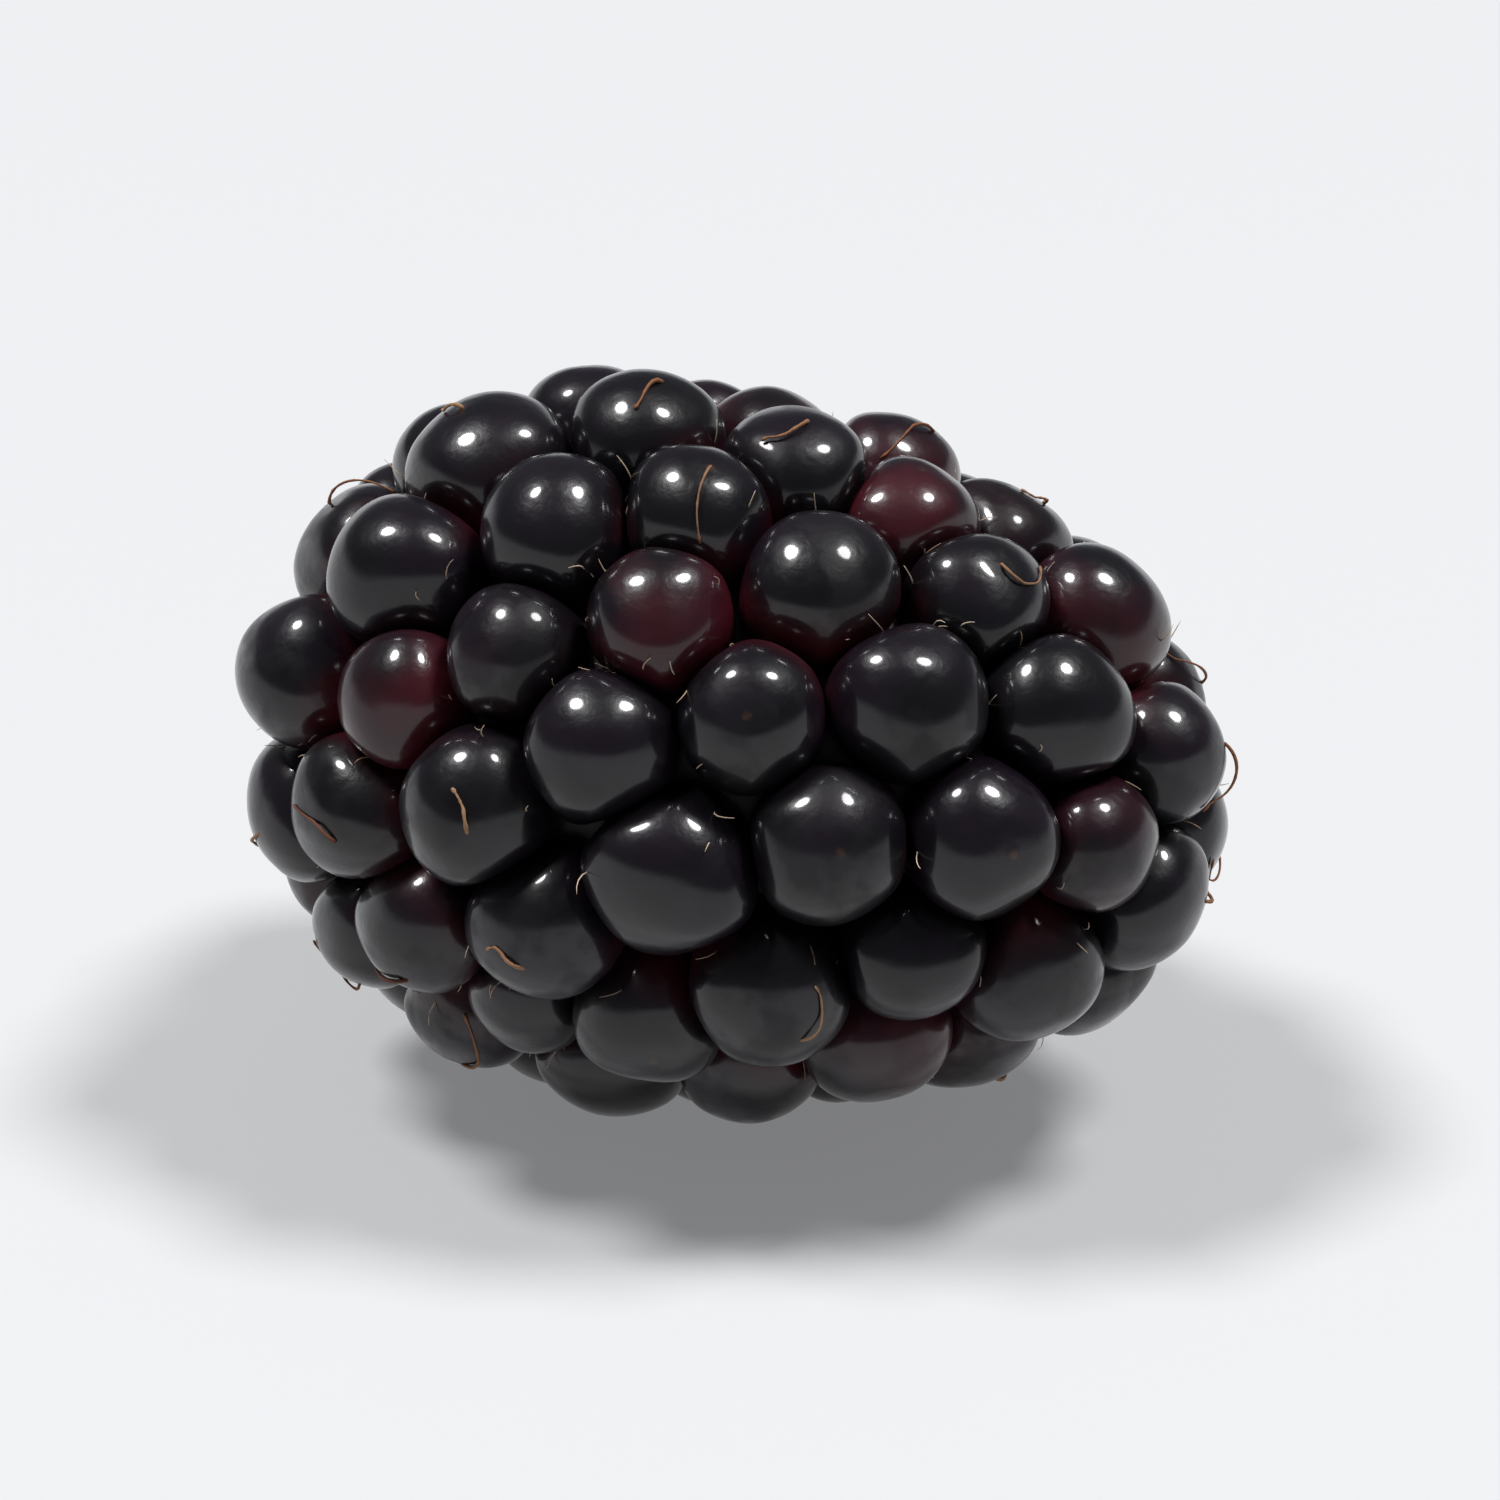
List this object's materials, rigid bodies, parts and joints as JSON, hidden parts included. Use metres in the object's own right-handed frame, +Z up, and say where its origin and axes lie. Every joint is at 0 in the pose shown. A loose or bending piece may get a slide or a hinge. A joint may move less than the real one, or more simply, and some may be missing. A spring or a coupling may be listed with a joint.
{
  "type": "bramble berry",
  "caption": "Ripe bramble berry as picked: plump glossy drupelets packed round a receptacle, with a pale scar at the stem end, lying on its side.",
  "frame": {"origin": "on the surface that the berry lies on, under the middle of its box", "axes": "+Z up, +X along the berry's length from the stem end to the tip"},
  "size_m": [0.0272, 0.0214, 0.021],
  "materials": {
    "drupelet_skin": "glossy, almost black skin with a plum and wine-red tint where it is thin",
    "receptacle": "matt, fibrous, pale cream to tan where the stem was picked off",
    "dried_style": "dry, thin, orange-brown to reddish hairs"
  },
  "bodies": {
    "root": {"bramble_berry": "drupelet_skin"}
  },
  "joints": []
}
